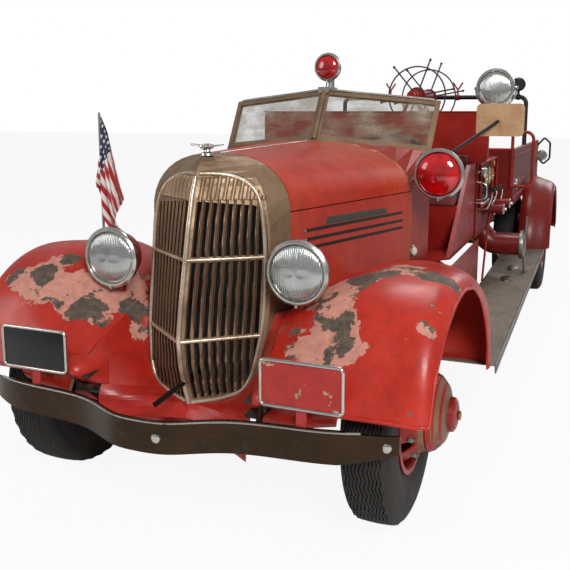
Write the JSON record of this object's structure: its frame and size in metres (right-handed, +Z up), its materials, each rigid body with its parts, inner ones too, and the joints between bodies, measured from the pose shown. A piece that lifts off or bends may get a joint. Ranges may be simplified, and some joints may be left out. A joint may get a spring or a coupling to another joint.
{
  "type": "fire engine",
  "caption": "Open-cab pumper fire engine with a V-shaped grille, long hood, pontoon fenders, twin rear wheels and a rear hose body",
  "frame": {"origin": "on the ground, at the middle of the vehicle's length and width", "axes": "+Z up, +X towards the vehicle's left, the front faces -Y"},
  "size_m": [2.34, 6.89, 2.1921],
  "materials": {
    "hood_paint": "faded orange-red gloss paint, scratched",
    "body_paint": "worn red gloss paint",
    "fender_paint": "red paint worn to primer in large patches",
    "bronze_paint": "bronze metallic paint, dulled",
    "chassis_paint": "dark chassis paint, dusty",
    "black_paint": "black gloss paint",
    "chrome": "dulled chrome plating with light rust",
    "steel": "bare steel",
    "iron": "cast iron",
    "brass": "tarnished brass",
    "board_grey": "grey-brown walked-on tread plate",
    "pane": "old laminated glass, hazy at its edges",
    "tyre": "black rubber, dusty",
    "seat_leather": "worn red seat covering",
    "cloth": "striped flag cloth with a navy starred corner",
    "plate_paint": "blank painted plate in a bright frame"
  },
  "bodies": {
    "chassis": {"ball_lamp": "black_paint", "beacon": "chrome", "bumper": "chrome", "cab_body": "body_paint", "cab_floor": "body_paint", "cowl": "body_paint", "drive_shaft": "steel", "engine_block": "iron", "flag": "cloth", "flag_staff": "chrome", "frame_rails": "chassis_paint", "front_axle": "chassis_paint", "front_fenders": "fender_paint", "grab_loops": "body_paint", "grille_shell": "bronze_paint", "headlamps": "body_paint", "hood_hinge": "chrome", "hood_sides": "hood_paint", "hose_body": "body_paint", "hose_forks": "body_paint", "leaf_springs": "chassis_paint", "licence_plates": "plate_paint", "mirror": "bronze_paint", "pump": "body_paint", "pump_house": "body_paint", "pump_panel": "black_paint", "radiator_core": "black_paint", "rail_rack": "black_paint", "rear_axle": "chassis_paint", "rear_fenders": "body_paint", "reel_stand": "body_paint", "running_boards": "board_grey", "seat_cushions": "seat_leather", "side_valances": "body_paint", "siren_lamp": "chrome", "spot_lamp": "chrome", "starting_crank": "black_paint", "steering_column": "black_paint", "tail_lamps": "chrome", "tailboard": "board_grey", "windshield_frame": "bronze_paint", "windshield_glass": "pane"},
    "knuckle_left": {"knuckle_left": "chassis_paint"},
    "knuckle_right": {"knuckle_right": "chassis_paint"},
    "tie_rod": {"tie_rod": "chassis_paint"},
    "steering_wheel": {"steering_wheel": "black_paint"},
    "front_left_wheel": {"wheel_front_left": "body_paint", "tyre_front_left": "tyre"},
    "front_right_wheel": {"wheel_front_right": "body_paint", "tyre_front_right": "tyre"},
    "rear_left_wheels": {"wheel_rear_left": "body_paint", "tyres_rear_left": "tyre"},
    "rear_right_wheels": {"wheel_rear_right": "body_paint", "tyres_rear_right": "tyre"},
    "hood_left_lid": {"hood_left": "hood_paint"},
    "hood_right_lid": {"hood_right": "hood_paint"},
    "reel": {"reel_shaft": "body_paint", "hose_reel": "black_paint"}
  },
  "joints": [
    {"name": "steer_left", "type": "hinge", "parent": "chassis", "child": "knuckle_left", "pos_m": [0.652, -2.705, 0.473], "axis": [0, 0, 1], "range_deg": [-26, 26]},
    {"name": "steer_right", "type": "hinge", "parent": "chassis", "child": "knuckle_right", "pos_m": [-0.652, -2.705, 0.473], "axis": [0, 0, 1], "range_deg": [-26, 26]},
    {"name": "tie_rod_swing", "type": "hinge", "parent": "knuckle_left", "child": "tie_rod", "pos_m": [0.652, -2.555, 0.376], "axis": [0, 0, 1], "range_deg": [-26, 26]},
    {"name": "steering_wheel_turn", "type": "hinge", "parent": "chassis", "child": "steering_wheel", "pos_m": [0.38, -1.225, 1.42], "axis": [0, 0.6257, 0.78], "range_deg": [-315, 315]},
    {"name": "front_left_wheel_spin", "type": "hinge", "parent": "knuckle_left", "child": "front_left_wheel", "pos_m": [0.782, -2.705, 0.473], "axis": [1, 0, 0], "continuous": true},
    {"name": "front_right_wheel_spin", "type": "hinge", "parent": "knuckle_right", "child": "front_right_wheel", "pos_m": [-0.782, -2.705, 0.473], "axis": [1, 0, 0], "continuous": true},
    {"name": "rear_left_wheels_spin", "type": "hinge", "parent": "chassis", "child": "rear_left_wheels", "pos_m": [0.872, 1.945, 0.473], "axis": [1, 0, 0], "continuous": true},
    {"name": "rear_right_wheels_spin", "type": "hinge", "parent": "chassis", "child": "rear_right_wheels", "pos_m": [-0.872, 1.945, 0.473], "axis": [1, 0, 0], "continuous": true},
    {"name": "hood_left_open", "type": "hinge", "parent": "chassis", "child": "hood_left_lid", "pos_m": [0.014, -2.761, 1.523], "axis": [0, -0.9998, -0.0221], "range_deg": [0, 60]},
    {"name": "hood_right_open", "type": "hinge", "parent": "chassis", "child": "hood_right_lid", "pos_m": [-0.014, -2.761, 1.523], "axis": [0, 0.9998, 0.0221], "range_deg": [0, 60]},
    {"name": "reel_spin", "type": "hinge", "parent": "chassis", "child": "reel", "pos_m": [0, 1.245, 1.87], "axis": [0, 1, 0], "continuous": true}
  ],
  "couplings": [
    {"joint": "steer_right", "follows": "steer_left", "ratio": 1},
    {"joint": "tie_rod_swing", "follows": "steer_left", "ratio": -1},
    {"joint": "steering_wheel_turn", "follows": "steer_left", "ratio": 12}
  ]
}
